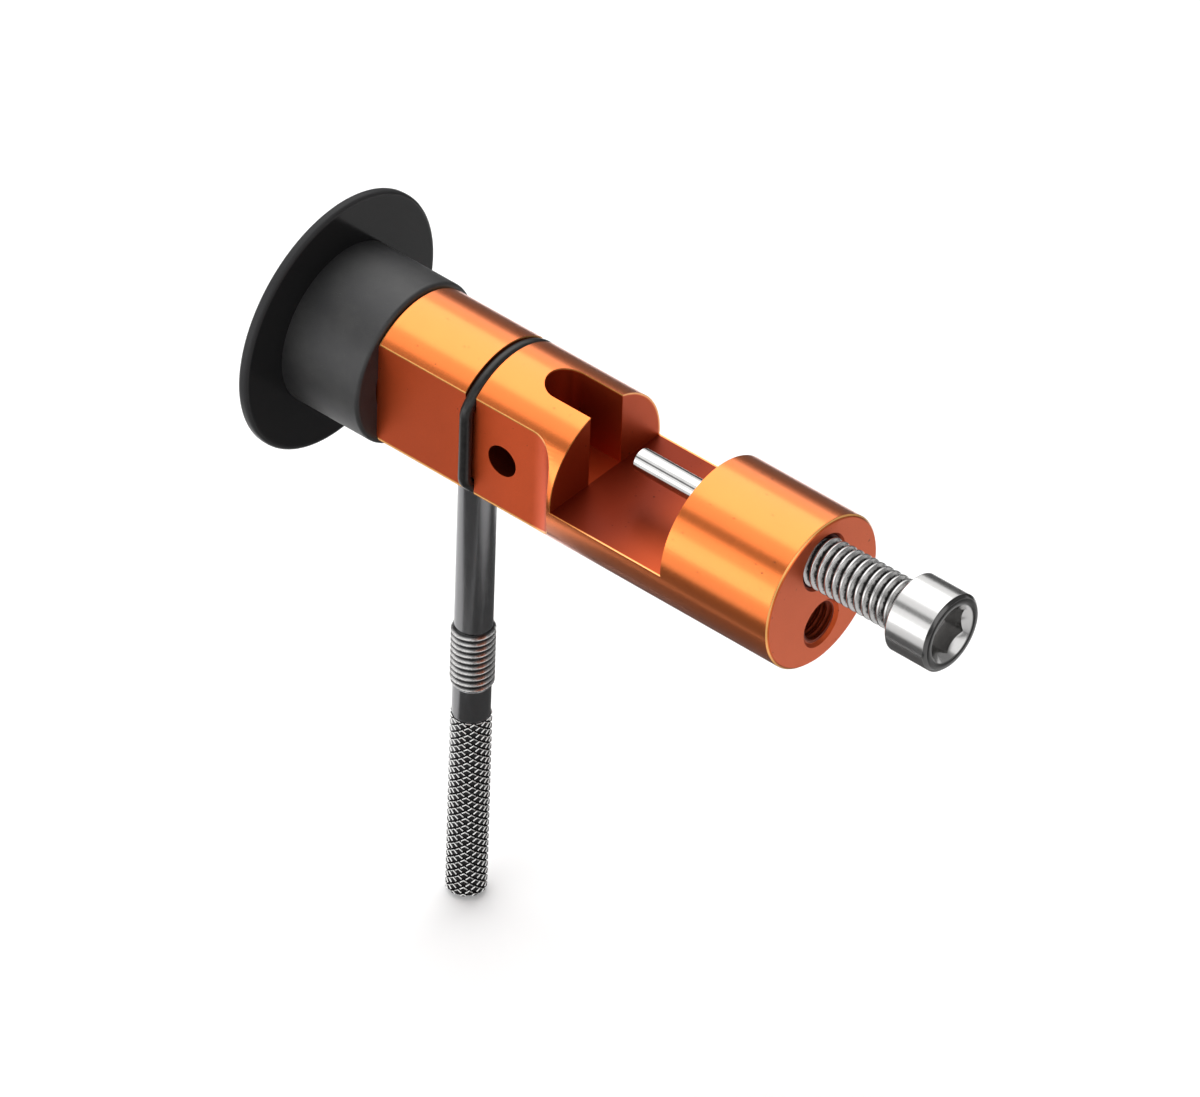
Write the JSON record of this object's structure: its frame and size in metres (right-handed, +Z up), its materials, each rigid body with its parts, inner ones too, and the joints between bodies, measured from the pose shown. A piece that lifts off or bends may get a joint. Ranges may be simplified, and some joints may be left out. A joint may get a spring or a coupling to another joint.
{
  "type": "bar-end chain tool",
  "caption": "Handlebar-end plug with a built-in bicycle chain tool: round body with a chain cradle, screw driver with push pin, and a pull-out handle rod.",
  "frame": {"origin": "where the body's axis meets the flange's inner face, the face that rests on the end of the handlebar", "axes": "+X along the body from the flange to the driver's head, Y along the chain in the cradle, +Z up out of the cradle, with the handle rod hanging along -Z"},
  "size_m": [0.0853, 0.0304, 0.0829],
  "materials": {
    "gloss_black": "gloss black anodised and lacquered",
    "black_steel": "black-oxide steel, oiled",
    "grip_rubber": "matt moulded rubber",
    "orange_anodised": "satin orange anodised aluminium",
    "ring_rubber": "smooth nitrile rubber",
    "turned_steel": "turned stainless steel",
    "polished_steel": "ground and polished hardened steel",
    "spring_steel": "bright spring wire"
  },
  "bodies": {
    "tool_body": {"end_cap": "gloss_black", "cap_screw": "black_steel", "grip_sleeve": "grip_rubber", "body": "orange_anodised", "link_o_ring": "ring_rubber", "rod_o_ring": "ring_rubber"},
    "handle": {"handle_rod": "black_steel"},
    "push_pin": {"driver_pin": "polished_steel"},
    "driver": {"driver_screw": "turned_steel", "pin_retaining_ring": "spring_steel"}
  },
  "joints": [
    {"name": "handle_slide", "type": "slide", "parent": "tool_body", "child": "handle", "axis": [0, 0, -1], "range_m": [0, 0.02]},
    {"name": "driver_feed", "type": "slide", "parent": "tool_body", "child": "push_pin", "axis": [1, 0, 0], "range_m": [-0.0115, 0.0106]},
    {"name": "driver_turn", "type": "hinge", "parent": "push_pin", "child": "driver", "pos_m": [0.0536, 0, 0.00415], "axis": [1, 0, 0], "range_deg": [-4141, 3817]}
  ],
  "couplings": [
    {"joint": "driver_turn", "follows": "driver_feed", "rad_per_m": 6283.2}
  ]
}
